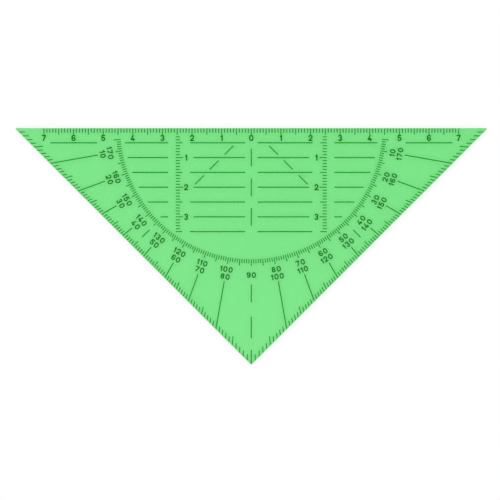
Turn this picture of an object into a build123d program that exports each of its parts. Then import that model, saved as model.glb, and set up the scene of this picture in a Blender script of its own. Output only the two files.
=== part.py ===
from build123d import *
import math
import os

# A drafting triangle: a clear green plate with its graduations printed on the upper face in raised ink.
# Millimetres, +Z up. X runs along the hypotenuse, the right-angled tip points to -Y, and the underside
# lies on Z = 0. A mark's depth is its distance from the hypotenuse, and a mark's radius and angle are
# taken from the zero point in the middle of the hypotenuse, from the left end round to the right.

# Plate
hypotenuse = 160.0
plate_thickness = 1.8
tip_radius = 0.3
edge_break = 0.15

# Ink
ink_thickness = 0.04
mark_width = 0.34
line_width = 0.38
edge_land = 0.05

# Numerals of the ruler and the height scales, smaller ones of the protractor, by the size of their zero
numeral_height = 2.14
numeral_width = 1.54
numeral_stroke = 0.48
degree_numeral_height = 1.94
degree_numeral_width = 1.46
degree_numeral_stroke = 0.43
digit_gap = 0.33

# Ruler on the hypotenuse
ruler_pitch = 1.0
ruler_end_margin = 10.0
ruler_short_end = 1.6
ruler_numeral_gap = 0.06
ruler_line_gap = 0.37

# Height scales, one on each side, halfway between two numerals of the ruler, with their marks across X
height_overhang = 0.5
height_short_length = 1.42
height_middle_length = 2.2
height_long_length = 2.45
height_numeral_gap = 0.28
height_ruler_gap = 0.2
height_arc_gap = 0.5

# Parallel lines
inner_line_start = 2.1
mark_line_gap = 2.65
outer_line_gap = 2.55
numeral_line_gap = 1.66
arc_line_gap = 1.4
far_line_gap = 0.2
far_line_length = 15.8

# Centre line
centre_dash_length = 6.0
lower_dash_gap = 1.0
lower_dash_space = 4.8
last_dash_length = 7.3
tip_mark_length = 5.0

# Guides at 45 degrees
guide_dash_gap = 1.0
short_dash_gap = 2.0
short_dash_length = 3.6

# Protractor arc, and the two rows of numerals round it
arc_leg_gap = 12.27
arc_short_length = 1.4
arc_long_length = 2.3
arc_numeral_gap = 0.83
numeral_row_gap = 0.58

# Degree marks on the two legs
ray_gap = 0.65
leg_short_end = 1.6
leg_long_end = 2.5

# Counts and angles
small_group = 5
height_scale_centimetres = 2
half_turn = 180
right_angle = 90
leg_angle = 45
arc_first_angle = 5

# Derived places on the plate
half_hypotenuse = hypotenuse / 2
tip_loss = tip_radius * (math.sqrt(2) - 1)
zero_y = (half_hypotenuse - tip_loss) / 2
mark_start = edge_break + edge_land

# Derived radii of the protractor, from the zero point outwards
arc_inner_radius = half_hypotenuse / math.sqrt(2) - arc_leg_gap
arc_short_outer_radius = arc_inner_radius + arc_short_length
arc_long_outer_radius = arc_inner_radius + arc_long_length
inner_numeral_radius = arc_long_outer_radius + arc_numeral_gap + degree_numeral_height / 2
outer_numeral_radius = inner_numeral_radius + degree_numeral_height + numeral_row_gap
right_angle_numeral_radius = (inner_numeral_radius + outer_numeral_radius) / 2
numeral_end_radius = outer_numeral_radius + degree_numeral_height / 2
ray_inner_radius = numeral_end_radius + ray_gap
outer_line_radius = arc_inner_radius - arc_line_gap

# Derived depths: the ruler's numerals fit between its long marks and the first parallel line
large_group = 2 * small_group
parallel_pitch = small_group * ruler_pitch
centimetre = large_group * ruler_pitch
ruler_steps = round((half_hypotenuse - ruler_end_margin) / ruler_pitch)
ruler_numeral_depth = parallel_pitch - line_width / 2 - ruler_line_gap - numeral_height / 2
ruler_long_end = ruler_numeral_depth - numeral_height / 2 - ruler_numeral_gap

# Derived places and steps of the height scales, which fit between the ruler and the arc
height_scale_outer = height_scale_centimetres * centimetre + parallel_pitch + height_overhang
height_first_step = math.ceil((ruler_long_end + mark_width / 2 + height_ruler_gap) / ruler_pitch)
height_reach = math.sqrt((arc_inner_radius - height_arc_gap) ** 2 - height_scale_outer**2)
height_last_step = math.floor(height_reach / ruler_pitch)
height_long_inner = height_scale_outer - height_long_length
height_middle_inner = height_scale_outer - height_middle_length
height_numeral_place = height_long_inner - height_numeral_gap - numeral_width / 2

# Derived ends of the inner parallel lines, which leave room for the marks and the numerals in turn
parallel_count = height_last_step // small_group
odd_line_end = height_middle_inner - mark_line_gap
even_line_end = height_numeral_place - numeral_width / 2 - numeral_line_gap

# Each digit's width as a share of the zero's, and the lines and arcs of its pen path as shares of the
# path's width and height, across from the middle and up from the foot
digit_width_shares = dict.fromkeys("23456789", 0.96) | {"0": 1, "1": 0.52}
digit_line_shares = {
    "0": [],
    "1": [((-0.5, 0.77), (0.5, 1)), ((0.5, 1), (0.5, 0))],
    "2": [((0.38, 0.52), (-0.5, 0)), ((-0.5, 0), (0.5, 0))],
    "3": [],
    "4": [((0.1, 1), (-0.5, 0.2)), ((-0.5, 0.2), (0.5, 0.2)), ((0.22, 0.38), (0.22, 0))],
    "5": [((0.42, 1), (-0.36, 1)), ((-0.36, 1), (-0.4, 0.49))],
    "6": [((-0.5, 0.27), (-0.5, 0.66))],
    "7": [((-0.5, 1), (0.5, 1)), ((0.5, 1), (-0.2, 0))],
    "8": [],
    "9": [((0.5, 0.73), (0.5, 0.34))],
}
digit_arc_shares = {
    "0": [
        ((-0.42, 0.8), (-0.5, 0.5), (-0.42, 0.2)),
        ((0.42, 0.8), (0.5, 0.5), (0.42, 0.2)),
        ((-0.42, 0.8), (0, 1), (0.42, 0.8)),
        ((-0.42, 0.2), (0, 0), (0.42, 0.2)),
    ],
    "1": [],
    "2": [((-0.49, 0.73), (0.25, 0.96), (0.38, 0.52))],
    "3": [((-0.38, 0.88), (0.36, 0.88), (0, 0.51)), ((0, 0.51), (0.42, 0.2), (-0.4, 0.13))],
    "4": [],
    "5": [((-0.4, 0.49), (0.48, 0.3), (-0.44, 0.13))],
    "6": [
        ((-0.5, 0.27), (0, 0.54), (0.5, 0.27)),
        ((-0.5, 0.27), (0, 0), (0.5, 0.27)),
        ((-0.5, 0.66), (-0.06, 1), (0.42, 0.88)),
    ],
    "7": [],
    "8": [
        ((-0.41, 0.76), (0, 1), (0.41, 0.76)),
        ((-0.41, 0.76), (0, 0.52), (0.41, 0.76)),
        ((-0.5, 0.26), (0, 0.52), (0.5, 0.26)),
        ((-0.5, 0.26), (0, 0), (0.5, 0.26)),
    ],
    "9": [
        ((0.5, 0.73), (0, 0.46), (-0.5, 0.73)),
        ((0.5, 0.73), (0, 1), (-0.5, 0.73)),
        ((0.5, 0.34), (0.06, 0), (-0.42, 0.12)),
    ],
}


def at(across, depth):
    """A point of the plate, by its place along the hypotenuse and its depth below it."""
    return Vector(across, zero_y - depth)


def polar(radius, angle):
    """A point at a radius and an angle in degrees from the zero point."""
    turn = math.radians(angle)
    return at(-radius * math.cos(turn), radius * math.sin(turn))


def ink(outline):
    """The ink that stands on the upper face over an outline."""
    face = Pos(0, 0, plate_thickness) * outline
    return extrude(face, amount=ink_thickness, dir=(0, 0, 1)).solid()


def bar(start, end, width):
    """An ink line with square ends."""
    along = (end - start).normalized()
    side = Vector(-along.Y, along.X) * (width / 2)
    return ink(Polygon(start + side, end + side, end - side, start - side, align=None))


def leg_bar(angle, inner_depth, width):
    """An ink line along a radius that starts at a leg and ends parallel to it, at a depth from the leg."""
    turn = math.radians(angle)
    along = Vector(-math.cos(turn), -math.sin(turn))
    side = Vector(-along.Y, along.X) * (width / 2)
    leg_normal = Vector(math.copysign(1, along.X), -1)
    zero_point = at(0, 0)

    def corner(offset, leg_depth):
        reach = half_hypotenuse - leg_depth * math.sqrt(2) - offset.dot(leg_normal)
        return zero_point + offset + along * (reach / along.dot(leg_normal))

    leading = [corner(side, mark_start), corner(side, inner_depth)]
    trailing = [corner(-side, inner_depth), corner(-side, mark_start)]
    return ink(Polygon(*leading, *trailing, align=None))


def ray(angle):
    """An ink line along a radius, from a fixed radius out to a leg."""
    turn = math.radians(angle)
    leg_radius = half_hypotenuse / (abs(math.cos(turn)) + math.sin(turn))
    leg_slope = math.sin(math.radians(leg_angle) + min(turn, math.pi - turn))
    return leg_bar(angle, (leg_radius - ray_inner_radius) * leg_slope, line_width)


def pen_point(shares, width, height):
    """A point on a digit's pen path, about the digit's middle, by shares of the path's width and height."""
    across_share, up_share = shares
    return Vector(across_share * width, up_share * height - height / 2)


def digit(name, width, height, stroke):
    """One digit as an ink solid about its own middle, drawn by a pen with a round tip."""
    path_size = (width - stroke, height - stroke)
    strokes = []
    for places in digit_line_shares[name]:
        start, end = [pen_point(shares, *path_size) for shares in places]
        strokes.append(SlotCenterPoint((start + end) / 2, end, stroke))
    for places in digit_arc_shares[name]:
        points = [pen_point(shares, *path_size) for shares in places]
        strokes.append(SlotArc(ThreePointArc(*points), stroke))
    return ink(Sketch() + strokes)


def digit_set(zero_width, height, stroke):
    """Every digit by its name, with its width and its solid."""
    widths = {name: zero_width * share for name, share in digit_width_shares.items()}
    return {name: (width, digit(name, width, height, stroke)) for name, width in widths.items()}


length_digits = digit_set(numeral_width, numeral_height, numeral_stroke)
degree_digits = digit_set(degree_numeral_width, degree_numeral_height, degree_numeral_stroke)


def number(value, middle, turn, digits):
    """A number in digits of one set, in a row about a point, turned by an angle."""
    row = [digits[name] for name in str(value)]
    start = -(sum(width for width, solid in row) + digit_gap * (len(row) - 1)) / 2
    frame = Location((middle.X, middle.Y), turn)
    solids = []
    for width, solid in row:
        solids.append(solid.moved(frame * Location((start + width / 2, 0))))
        start += width + digit_gap
    return solids


def length_number(value, middle):
    """An upright number of the ruler or of a height scale."""
    return number(value, middle, 0, length_digits)


def degree_number(value, radius, angle):
    """A number of the protractor, with its head towards the zero point."""
    return number(value, polar(radius, angle), angle - right_angle, degree_digits)


def ruler_marks(wanted, end):
    """The ruler's marks at the steps that are wanted, down to a depth."""
    marks = []
    for step in filter(wanted, range(-ruler_steps, ruler_steps + 1)):
        across = step * ruler_pitch
        marks.append(bar(at(across, mark_start), at(across, end), mark_width))
    return marks


def ruler_numerals():
    """Centimetres, counted both ways from the zero point."""
    most = ruler_steps // large_group
    solids = []
    for count in range(-most, most + 1):
        solids += length_number(abs(count), at(count * centimetre, ruler_numeral_depth))
    return solids


def height_marks(side):
    """One height scale, in millimetres from the hypotenuse."""
    marks = []
    for step in range(height_first_step, height_last_step + 1):
        inner = height_scale_outer - height_short_length
        if step % large_group == 0:
            inner = height_long_inner
        elif step % small_group == 0:
            inner = height_middle_inner
        depth = step * ruler_pitch
        marks.append(bar(at(side * height_scale_outer, depth), at(side * inner, depth), mark_width))
    return marks


def height_numerals(side):
    """The centimetres of one height scale."""
    solids = []
    for count in range(1, height_last_step // large_group + 1):
        solids += length_number(count, at(side * height_numeral_place, count * centimetre))
    return solids


def inner_parallel_lines(side):
    """The parallel lines between the centre line and a height scale."""
    lines = []
    for row in range(1, parallel_count + 1):
        end = odd_line_end if row % 2 else even_line_end
        depth = row * parallel_pitch
        lines.append(bar(at(side * inner_line_start, depth), at(side * end, depth), line_width))
    return lines


def outer_parallel_lines(side):
    """The parallel lines between a height scale and the arc, and the one that goes on past the arc."""
    far_start = numeral_end_radius + far_line_gap
    far_end = far_start + far_line_length
    lines = [bar(at(side * far_start, parallel_pitch), at(side * far_end, parallel_pitch), line_width)]
    start = height_scale_outer + outer_line_gap
    for row in range(1, parallel_count + 1):
        depth = row * parallel_pitch
        if math.hypot(start, depth) < outer_line_radius:
            end = math.sqrt(outer_line_radius**2 - depth**2)
            lines.append(bar(at(side * start, depth), at(side * end, depth), line_width))
    return lines


def centre_line():
    """The dashes from the zero point to the right-angled tip."""
    spans = []
    for count in range(1, height_last_step // large_group + 1):
        start = count * centimetre - centre_dash_length / 2
        spans.append((start, start + centre_dash_length))
    lower_start = numeral_end_radius + lower_dash_gap
    lower_end = lower_start + centre_dash_length
    last_start = lower_end + lower_dash_space
    tip_depth = half_hypotenuse - tip_loss - line_width
    spans.append((lower_start, lower_end))
    spans.append((last_start, last_start + last_dash_length))
    spans.append((half_hypotenuse - tip_mark_length, tip_depth))
    return [bar(at(0, start), at(0, end), line_width) for start, end in spans]


def guide(side):
    """The dashes at 45 degrees between the parallel lines, and the short one among the degree numerals."""
    dashes = []
    for count in range(1, math.floor(even_line_end / parallel_pitch) + 1):
        start = count * parallel_pitch + guide_dash_gap
        end = (count + 1) * parallel_pitch - guide_dash_gap
        dashes.append(bar(at(side * start, start), at(side * end, end), line_width))
    angle = right_angle + side * leg_angle
    inner_radius = arc_long_outer_radius + short_dash_gap
    outer_radius = inner_radius + short_dash_length
    return dashes + [bar(polar(inner_radius, angle), polar(outer_radius, angle), line_width)]


def arc_marks(wanted, outer_radius):
    """The protractor's marks at the angles that are wanted."""
    marks = []
    for angle in range(arc_first_angle, half_turn - arc_first_angle + 1):
        if wanted(angle):
            marks.append(bar(polar(arc_inner_radius, angle), polar(outer_radius, angle), mark_width))
    return marks


def side_angles(side, step):
    """The angles of one leg that are whole steps, without its two ends."""
    start = 0 if side < 0 else right_angle
    return [angle for angle in range(start + 1, start + right_angle) if angle % step == 0]


def degree_numerals(side, radius, value):
    """The tens of degrees of one side at a radius, clear of the right angle's own numeral."""
    solids = []
    for angle in side_angles(side, large_group):
        if abs(angle - right_angle) >= small_group:
            solids += degree_number(value(angle), radius, angle)
    return solids


def supplement(angle):
    """The same direction, counted from the right end of the hypotenuse."""
    return half_turn - angle


def leg_marks(side, wanted, inner_depth):
    """The degree marks along one leg."""
    return [leg_bar(angle, inner_depth, mark_width) for angle in side_angles(side, 1) if wanted(angle)]


def off_group(step):
    """A step that no longer mark stands on."""
    return step % small_group != 0


def mid_group(step):
    """A step halfway between two tens."""
    return step % small_group == 0 and step % large_group != 0


def on_large_group(step):
    """A whole ten."""
    return step % large_group == 0


def on_small_group(step):
    """A whole five."""
    return step % small_group == 0


def ink_nodes():
    """Every group of ink solids, by name."""
    nodes = {
        "ruler_millimetre_marks": ruler_marks(off_group, ruler_short_end),
        "ruler_half_centimetre_marks": ruler_marks(mid_group, ruler_long_end),
        "ruler_centimetre_marks": ruler_marks(on_large_group, ruler_long_end),
        "ruler_numerals": ruler_numerals(),
        "centre_line": centre_line(),
        "protractor_degree_marks": arc_marks(off_group, arc_short_outer_radius),
        "protractor_five_degree_marks": arc_marks(on_small_group, arc_long_outer_radius),
        "right_angle_numeral": degree_number(right_angle, right_angle_numeral_radius, right_angle),
    }
    for name, side in (("left", -1), ("right", 1)):
        nodes[name + "_height_scale_marks"] = height_marks(side)
        nodes[name + "_height_scale_numerals"] = height_numerals(side)
        nodes[name + "_inner_parallel_lines"] = inner_parallel_lines(side)
        nodes[name + "_outer_parallel_lines"] = outer_parallel_lines(side)
        nodes[name + "_45_degree_guide"] = guide(side)
        nodes[name + "_inner_degree_numerals"] = degree_numerals(side, inner_numeral_radius, supplement)
        nodes[name + "_outer_degree_numerals"] = degree_numerals(side, outer_numeral_radius, int)
        nodes[name + "_ten_degree_rays"] = [ray(angle) for angle in side_angles(side, large_group)]
        nodes[name + "_edge_degree_marks"] = leg_marks(side, off_group, leg_short_end)
        nodes[name + "_edge_five_degree_marks"] = leg_marks(side, mid_group, leg_long_end)
    return nodes


def plate():
    """The plate, with rounded tips and its upper edges broken."""
    tips = [at(-half_hypotenuse, 0), at(half_hypotenuse, 0), at(0, half_hypotenuse)]
    outline = Polygon(*tips, align=None)
    outline = fillet(outline.vertices(), tip_radius)
    blank = extrude(outline, amount=plate_thickness, dir=(0, 0, 1))
    return chamfer(blank.faces().sort_by(Axis.Z)[-1].edges(), edge_break)


def main():
    os.makedirs("parts", exist_ok=True)
    export_step(plate(), "parts/plate.step")
    for name, solids in ink_nodes().items():
        export_step(Compound(solids), "parts/" + name + ".step")


main()
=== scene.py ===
import math
import bmesh
import bpy
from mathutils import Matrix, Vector


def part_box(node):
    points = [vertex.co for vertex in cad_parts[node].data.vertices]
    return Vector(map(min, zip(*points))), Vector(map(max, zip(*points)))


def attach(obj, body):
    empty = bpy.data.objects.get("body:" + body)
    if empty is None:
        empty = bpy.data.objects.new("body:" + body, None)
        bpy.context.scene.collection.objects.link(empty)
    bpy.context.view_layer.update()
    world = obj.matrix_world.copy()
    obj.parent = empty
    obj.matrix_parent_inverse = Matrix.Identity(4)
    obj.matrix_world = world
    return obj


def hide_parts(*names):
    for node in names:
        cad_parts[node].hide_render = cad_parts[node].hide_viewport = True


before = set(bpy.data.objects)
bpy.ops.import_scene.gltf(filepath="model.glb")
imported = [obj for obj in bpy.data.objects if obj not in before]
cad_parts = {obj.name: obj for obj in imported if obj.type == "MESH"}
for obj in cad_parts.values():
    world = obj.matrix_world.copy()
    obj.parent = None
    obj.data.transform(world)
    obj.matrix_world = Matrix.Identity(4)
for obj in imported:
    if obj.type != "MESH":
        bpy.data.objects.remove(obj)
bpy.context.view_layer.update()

millimetre = 0.001

# Plate: its place and size come from the frame, and its sides face these ways, in degrees
plate_low, plate_high = [Vector(corner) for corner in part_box("plate")]
right_leg_facing = -45
long_side_facing = 90
left_leg_facing = 225
full_turn = 360
tip_radius = 0.3 * millimetre
upper_edge_radius = 0.15 * millimetre
lower_edge_radius = 0.05 * millimetre
ink_bed = 0.01 * millimetre
tip_steps = 8
edge_steps = 5

# Clear plastic: the tint of its surface, the dye in it, and the marks on its faces and edges
plastic_tint = (0.62, 0.9, 0.675, 1)
plastic_refraction = 1.49
dye_colour = (0.0144, 0.961, 0.14, 1)
dye_density = 360.0
face_roughness = (0.01, 0.05)
edge_roughness = 0.3
edge_facing = (0.2, 0.9)
rub_size = 1.1 * millimetre
rub_detail = 4.0
ripple_size = 18 * millimetre
ripple_height = 0.03 * millimetre
scratch_length = 7 * millimetre
scratch_width = 0.12 * millimetre
scratch_depth = 0.001 * millimetre
scratch_turns = (25, -40)
scratch_levels = (0.68, 0.74)
scratch_roughness = 0.12

# Printing ink, from its thin to its thick places
line_colours = ((0.0002, 0.28, 0.011, 1), (0.0006, 0.33, 0.017, 1))
numeral_colours = ((0.0002, 0.2, 0.006, 1), (0.0006, 0.23, 0.011, 1))
ink_roughness = (0.45, 0.65)
ink_shine = 0.05
ink_grain = 0.25 * millimetre
ink_grain_height = 0.004 * millimetre
ink_detail = 3.0

# Studio: a white floor under a white dome, which is brighter above the horizon and dim near the top
floor_gap = 0.05 * millimetre
floor_half_width = 3.0
floor_colour = (0.97, 0.97, 0.97, 1)
floor_white_share = 0.82
covered_white_share = 0.45
dome_colour = (1, 1, 1, 1)
horizon_light = 1.0
dome_light = 1.25
dim_light_share = 0.08
dome_rise = (0.15, 0.55)
dim_rim = (0.9, 0.975)
dim_tilt = 18
dim_heading = 70
light_bounces = 48

# Camera: a long lens straight above the plate
lens = 212.0
sensor_width = 36.0
frame_width = 168.8 * millimetre
aim = Vector((-0.43 * millimetre, -1.25 * millimetre, plate_high.z))


def add_object(name, data):
    """A new object in the scene."""
    piece = bpy.data.objects.new(name, data)
    bpy.context.scene.collection.objects.link(piece)
    return piece


def tips():
    """Centres of the rounded tips, each with the directions in which its arc starts and ends."""
    right = Vector((plate_high.x - tip_radius, plate_high.y - tip_radius, 0))
    left = Vector((plate_low.x + tip_radius, plate_high.y - tip_radius, 0))
    apex = Vector((0, plate_low.y + tip_radius, 0))
    return [
        (right, right_leg_facing, long_side_facing),
        (left, long_side_facing, left_leg_facing),
        (apex, left_leg_facing, right_leg_facing + full_turn),
    ]


def outline(inset, height, slope):
    """Points of the rounded triangle, counter-clockwise from above, each with the plate's normal there."""
    points = []
    for centre, start, end in tips():
        for step in range(tip_steps + 1):
            turn = math.radians(start + (end - start) * step / tip_steps)
            out = Vector((math.cos(turn), math.sin(turn), 0))
            normal = out * math.cos(slope) + Vector((0, 0, math.sin(slope)))
            points.append((centre + out * (tip_radius - inset) + Vector((0, 0, height)), normal))
    return points


def plate_rings():
    """Outlines from the underside to the upper face, round the lower and the upper edge."""
    low = plate_low.z + lower_edge_radius
    high = plate_high.z + ink_bed - upper_edge_radius
    quarter_turn = math.pi / 2
    rings = []
    for middle, radius, first in ((low, lower_edge_radius, -quarter_turn), (high, upper_edge_radius, 0)):
        for step in range(edge_steps + 1):
            slope = first + quarter_turn * step / edge_steps
            rings.append(outline(radius * (1 - math.cos(slope)), middle + radius * math.sin(slope), slope))
    return rings


def make_plate(material):
    """The clear plate as one closed mesh, flat on its faces and round at its edges."""
    mesh = bmesh.new()
    outlines = plate_rings()
    rings = [[mesh.verts.new(point) for point, normal in ring] for ring in outlines]
    for lower, upper in zip(rings, rings[1:]):
        for place in range(len(lower)):
            after = (place + 1) % len(lower)
            mesh.faces.new((lower[place], lower[after], upper[after], upper[place]))
    mesh.faces.new(list(reversed(rings[0])))
    mesh.faces.new(rings[-1])
    for face in mesh.faces:
        face.smooth = True
    data = bpy.data.meshes.new("clear_plate")
    mesh.to_mesh(data)
    mesh.free()
    data.normals_split_custom_set_from_vertices([normal for ring in outlines for point, normal in ring])
    data.materials.append(material)
    piece = add_object("clear_plate", data)
    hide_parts("plate")
    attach(piece, "root")


def new_material(name):
    """A material with a Principled shader, as the material, its node tree and the shader."""
    material = bpy.data.materials.new(name)
    material.use_nodes = True
    return material, material.node_tree, material.node_tree.nodes["Principled BSDF"]


def noise(tree, width, length, detail, turn=0):
    """A noise pattern fixed to the object, with grains of a width and a length, turned by some degrees."""
    place = tree.nodes.new("ShaderNodeTexCoord")
    mapping = tree.nodes.new("ShaderNodeMapping")
    mapping.vector_type = "TEXTURE"
    mapping.inputs["Rotation"].default_value = (0, 0, math.radians(turn))
    mapping.inputs["Scale"].default_value = (length, width, length)
    texture = tree.nodes.new("ShaderNodeTexNoise")
    texture.inputs["Scale"].default_value = 1
    texture.inputs["Detail"].default_value = detail
    tree.links.new(place.outputs["Object"], mapping.inputs["Vector"])
    tree.links.new(mapping.outputs["Vector"], texture.inputs["Vector"])
    return texture.outputs["Fac"]


def ramp(tree, value, span, low, high):
    """A smooth step from a low to a high level, while a value crosses a span."""
    step = tree.nodes.new("ShaderNodeMapRange")
    step.interpolation_type = "SMOOTHSTEP"
    step.inputs["From Min"].default_value, step.inputs["From Max"].default_value = span
    step.inputs["To Min"].default_value = low
    step.inputs["To Max"].default_value = high
    tree.links.new(value, step.inputs["Value"])
    return step.outputs["Result"]


def combine(tree, operation, first, second):
    """Two values joined by a sum, a product or the larger of both."""
    node = tree.nodes.new("ShaderNodeMath")
    node.operation = operation
    tree.links.new(first, node.inputs[0])
    tree.links.new(second, node.inputs[1])
    return node.outputs["Value"]


def bump(tree, height, distance, below=None):
    """A normal for a pattern of heights, on top of the normal of another such pattern."""
    node = tree.nodes.new("ShaderNodeBump")
    node.inputs["Distance"].default_value = distance
    tree.links.new(height, node.inputs["Height"])
    if below is not None:
        tree.links.new(below, node.inputs["Normal"])
    return node.outputs["Normal"]


def edge_share(tree):
    """One on the plate's upright edges and none on its two faces."""
    place = tree.nodes.new("ShaderNodeTexCoord")
    split = tree.nodes.new("ShaderNodeSeparateXYZ")
    upright = tree.nodes.new("ShaderNodeMath")
    upright.operation = "ABSOLUTE"
    tree.links.new(place.outputs["Normal"], split.inputs["Vector"])
    tree.links.new(split.outputs["Z"], upright.inputs[0])
    return ramp(tree, upright.outputs["Value"], edge_facing, 1, 0)


def scratches(tree):
    """Hairline scratches from use, in two directions."""
    lines = []
    for turn in scratch_turns:
        grain = noise(tree, scratch_width, scratch_length, 0, turn)
        lines.append(ramp(tree, grain, scratch_levels, 0, 1))
    return combine(tree, "MAXIMUM", *lines)


def clear_green_plastic():
    """Dyed clear plastic: polished faces with a faint ripple, rub marks and scratches, and satin edges."""
    material, tree, shader = new_material("clear_green_plastic")
    shader.inputs["Base Color"].default_value = plastic_tint
    shader.inputs["Transmission Weight"].default_value = 1
    shader.inputs["IOR"].default_value = plastic_refraction
    lines = scratches(tree)
    roughness = ramp(tree, noise(tree, rub_size, rub_size, rub_detail), (0, 1), *face_roughness)
    worn = ramp(tree, lines, (0, 1), 0, scratch_roughness)
    satin = ramp(tree, edge_share(tree), (0, 1), 0, edge_roughness)
    for extra in (worn, satin):
        roughness = combine(tree, "ADD", roughness, extra)
    tree.links.new(roughness, shader.inputs["Roughness"])
    ripple = bump(tree, noise(tree, ripple_size, ripple_size, 0), ripple_height)
    tree.links.new(bump(tree, lines, -scratch_depth, ripple), shader.inputs["Normal"])
    dye = tree.nodes.new("ShaderNodeVolumeAbsorption")
    dye.inputs["Color"].default_value = dye_colour
    dye.inputs["Density"].default_value = dye_density
    tree.links.new(dye.outputs["Volume"], tree.nodes["Material Output"].inputs["Volume"])
    return material


def green_ink(name, thin, thick):
    """Dark green printing ink with a fine grain, a little uneven between its thin and its thick colour."""
    material, tree, shader = new_material(name)
    grain = noise(tree, ink_grain, ink_grain, ink_detail)
    colour = tree.nodes.new("ShaderNodeMix")
    colour.data_type = "RGBA"
    colour.inputs["A"].default_value = thin
    colour.inputs["B"].default_value = thick
    tree.links.new(grain, colour.inputs["Factor"])
    tree.links.new(colour.outputs["Result"], shader.inputs["Base Color"])
    tree.links.new(ramp(tree, grain, (0, 1), *ink_roughness), shader.inputs["Roughness"])
    tree.links.new(bump(tree, grain, ink_grain_height), shader.inputs["Normal"])
    shader.inputs["Specular IOR Level"].default_value = ink_shine
    return material


def print_ink():
    """Ink on every printed node: a darker one, laid on thicker, for the numerals."""
    line_ink = green_ink("line_ink", *line_colours)
    numeral_ink = green_ink("numeral_ink", *numeral_colours)
    for name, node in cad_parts.items():
        if name != "plate":
            node.data.materials.clear()
            node.data.materials.append(numeral_ink if "numeral" in name else line_ink)


def white_floor():
    """Matt white, partly shown at full white to keep its shadow light, and less so through the plate."""
    material, tree, shader = new_material("white_floor")
    shader.inputs["Base Color"].default_value = floor_colour
    shader.inputs["Roughness"].default_value = 1
    shader.inputs["Specular IOR Level"].default_value = 0
    path = tree.nodes.new("ShaderNodeLightPath")
    seen = path.outputs["Is Camera Ray"]
    for kind in ("Is Glossy Ray", "Is Transmission Ray"):
        seen = combine(tree, "MAXIMUM", seen, path.outputs[kind])
    level = ramp(tree, path.outputs["Is Transmission Ray"], (0, 1), floor_white_share, covered_white_share)
    white = tree.nodes.new("ShaderNodeEmission")
    mix = tree.nodes.new("ShaderNodeMixShader")
    tree.links.new(combine(tree, "MULTIPLY", seen, level), mix.inputs["Fac"])
    tree.links.new(shader.outputs["BSDF"], mix.inputs[1])
    tree.links.new(white.outputs["Emission"], mix.inputs[2])
    tree.links.new(mix.outputs["Shader"], tree.nodes["Material Output"].inputs["Surface"])
    material.cycles.emission_sampling = "NONE"
    return material


def make_floor():
    """A plain white floor under the plate."""
    half = floor_half_width
    height = plate_low.z - floor_gap
    data = bpy.data.meshes.new("floor")
    corners = [(-half, -half, height), (half, -half, height), (half, half, height), (-half, half, height)]
    data.from_pydata(corners, [], [(0, 1, 2, 3)])
    data.materials.append(white_floor())
    add_object("floor", data)


def light_world():
    """A white studio dome with a dim part near the top, so that the plate mirrors little of it."""
    world = bpy.data.worlds.new("studio")
    world.use_nodes = True
    bpy.context.scene.world = world
    tree = world.node_tree
    place = tree.nodes.new("ShaderNodeTexCoord")
    split = tree.nodes.new("ShaderNodeSeparateXYZ")
    tree.links.new(place.outputs["Generated"], split.inputs["Vector"])
    rise = ramp(tree, split.outputs["Z"], dome_rise, horizon_light, dome_light)
    tilt, heading = math.radians(dim_tilt), math.radians(dim_heading)
    aside = math.sin(tilt)
    towards = tree.nodes.new("ShaderNodeVectorMath")
    towards.operation = "DOT_PRODUCT"
    towards.inputs[1].default_value = (aside * math.cos(heading), aside * math.sin(heading), math.cos(tilt))
    tree.links.new(place.outputs["Generated"], towards.inputs[0])
    fall = ramp(tree, towards.outputs["Value"], dim_rim, 1, dim_light_share)
    background = tree.nodes["Background"]
    background.inputs["Color"].default_value = dome_colour
    tree.links.new(combine(tree, "MULTIPLY", rise, fall), background.inputs["Strength"])


def let_light_through():
    """Light paths long enough to run inside the plate from edge to edge, with sharp shine."""
    cycles = bpy.context.scene.cycles
    cycles.blur_glossy = 0
    cycles.max_bounces = light_bounces
    cycles.glossy_bounces = light_bounces
    cycles.transmission_bounces = light_bounces


def add_camera():
    """The camera above the plate, with the longest side at the top of the picture."""
    data = bpy.data.cameras.new("camera")
    data.lens = lens
    data.sensor_width = sensor_width
    camera = add_object("camera", data)
    camera.location = aim + Vector((0, 0, frame_width * lens / sensor_width))
    bpy.context.scene.camera = camera


make_plate(clear_green_plastic())
print_ink()
make_floor()
light_world()
let_light_through()
add_camera()
bpy.context.scene.view_settings.view_transform = "Standard"
